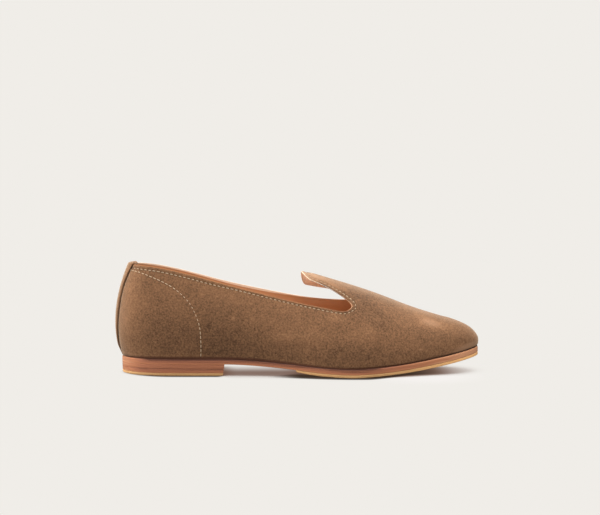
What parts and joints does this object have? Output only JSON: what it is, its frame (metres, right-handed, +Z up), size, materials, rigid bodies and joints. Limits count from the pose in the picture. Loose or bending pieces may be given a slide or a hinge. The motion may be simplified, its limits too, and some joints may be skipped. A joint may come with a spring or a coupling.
{
  "type": "suede slipper loafer",
  "caption": "Right suede slipper loafer with a high tab over the instep, deep side throat, back strip, leather sole with rubber forepart and low stacked heel.",
  "frame": {"origin": "middle of the bounding box in plan, on the floor under heel and forefoot", "axes": "+X towards the toe, -Y towards the outer side of the foot, +Z up"},
  "size_m": [0.2688, 0.0814, 0.0801],
  "materials": {
    "suede": "brushed suede nap, matte",
    "lining": "smooth tan lining leather, satin",
    "sole_leather": "burnished edge, streaked",
    "rubber": "beige, matte"
  },
  "bodies": {
    "root": {"upper": "suede", "back_strip": "suede", "insole": "lining", "outsole": "sole_leather", "half_sole": "rubber", "heel_lift_1": "sole_leather", "heel_lift_2": "sole_leather", "heel_top_piece": "rubber"}
  },
  "joints": []
}
